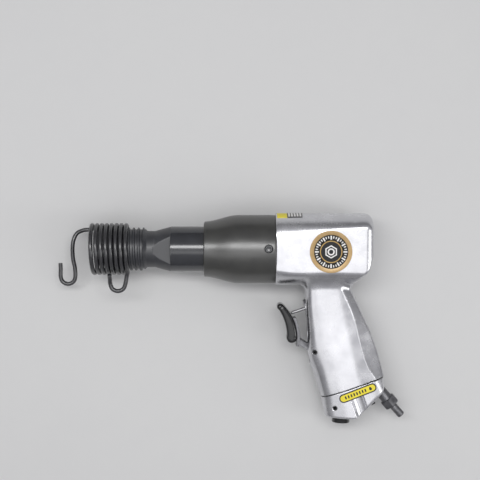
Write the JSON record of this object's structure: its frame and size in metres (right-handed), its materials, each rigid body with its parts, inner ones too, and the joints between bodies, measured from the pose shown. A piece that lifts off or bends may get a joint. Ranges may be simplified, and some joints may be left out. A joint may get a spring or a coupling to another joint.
{
  "type": "pneumatic air hammer",
  "caption": "Pistol-grip pneumatic hammer with a black barrel, a flared exhaust sleeve, a polished alloy housing, a curved trigger and a looped wire chisel retainer.",
  "frame": {"origin": "mouth of the chisel bore, on the barrel's axis", "axes": "-X out of the muzzle along the barrel, +Y towards the tool's spine, -Y towards the grip's foot, +Z out of the left flank; the tool lies on its right flank, and z = 0 is its mid-plane"},
  "size_m": [0.2894, 0.1751, 0.0564],
  "materials": {
    "black_steel": "glossy bluish black oxide",
    "spring_wire": "oiled black spring wire",
    "black_sleeve": "satin black oxide",
    "sintered_bronze": "porous, sooty",
    "ground_steel": "ground",
    "gasket": "pressed fibre",
    "cast_aluminium": "polished casting",
    "zinc_steel": "zinc plated",
    "black_plastic": "glossy moulded",
    "dark_pin": "dark phosphate",
    "brass": "turned",
    "rubber": "matt",
    "plug_steel": "dull nickel over steel",
    "badge_foil": "printed foil, copper ring on black",
    "label_yellow": "printed vinyl"
  },
  "bodies": {
    "tool": {"barrel": "black_steel", "exhaust_sleeve": "black_sleeve", "exhaust_muffler": "sintered_bronze", "sleeve_lock_screw": "black_steel", "valve_case": "ground_steel", "valve_cover": "ground_steel", "valve_dowels": "ground_steel", "valve_gasket": "gasket", "housing": "cast_aluminium", "trigger_pin": "dark_pin", "throttle_bushing": "zinc_steel", "throttle_bushing_seal": "rubber", "throttle_spring": "ground_steel", "end_cap": "cast_aluminium", "end_cap_gasket": "rubber", "end_cap_screws": "dark_pin", "regulator_pin": "dark_pin", "inlet_plug": "plug_steel", "inlet_screen": "brass", "badge": "badge_foil", "oil_label": "label_yellow", "top_label": "label_yellow"},
    "retainer": {"retainer_spring": "spring_wire"},
    "piston": {"piston": "ground_steel"},
    "valve_disc": {"valve_disc": "ground_steel"},
    "trigger": {"trigger_lever": "plug_steel", "trigger_pad": "black_plastic"},
    "throttle_valve": {"throttle_valve": "zinc_steel", "throttle_valve_seal": "rubber"},
    "regulator": {"regulator_spindle": "black_plastic", "regulator_seal": "rubber"}
  },
  "joints": [
    {"name": "trigger_pivot", "type": "hinge", "parent": "tool", "child": "trigger", "pos_m": [0.17265, -0.08428, 0], "axis": [0, 0, 1], "range_deg": [-7, 0], "stiffness_Nm_per_rad": 1.2, "springref_deg": 5.73},
    {"name": "throttle_slide", "type": "slide", "parent": "tool", "child": "throttle_valve", "axis": [0.9455, 0.3256, 0], "range_m": [0, 0.0045], "deforming": ["throttle_spring"]},
    {"name": "piston_slide", "type": "slide", "parent": "tool", "child": "piston", "axis": [-1, 0, 0], "range_m": [0, 0.064]},
    {"name": "valve_disc_slide", "type": "slide", "parent": "tool", "child": "valve_disc", "axis": [1, 0, 0], "range_m": [0, 0.0011]},
    {"name": "regulator_turn", "type": "hinge", "parent": "tool", "child": "regulator", "pos_m": [0.19551, -0.13902, 0], "axis": [-0.0324, -0.9995, 0], "range_deg": [0, 90]},
    {"name": "retainer_turn", "type": "hinge", "parent": "tool", "child": "retainer", "pos_m": [0, 0, 0], "axis": [-1, 0, 0], "range_deg": [0, 60]}
  ],
  "couplings": [
    {"joint": "throttle_slide", "follows": "trigger_pivot", "m_per_rad": -0.0365}
  ]
}
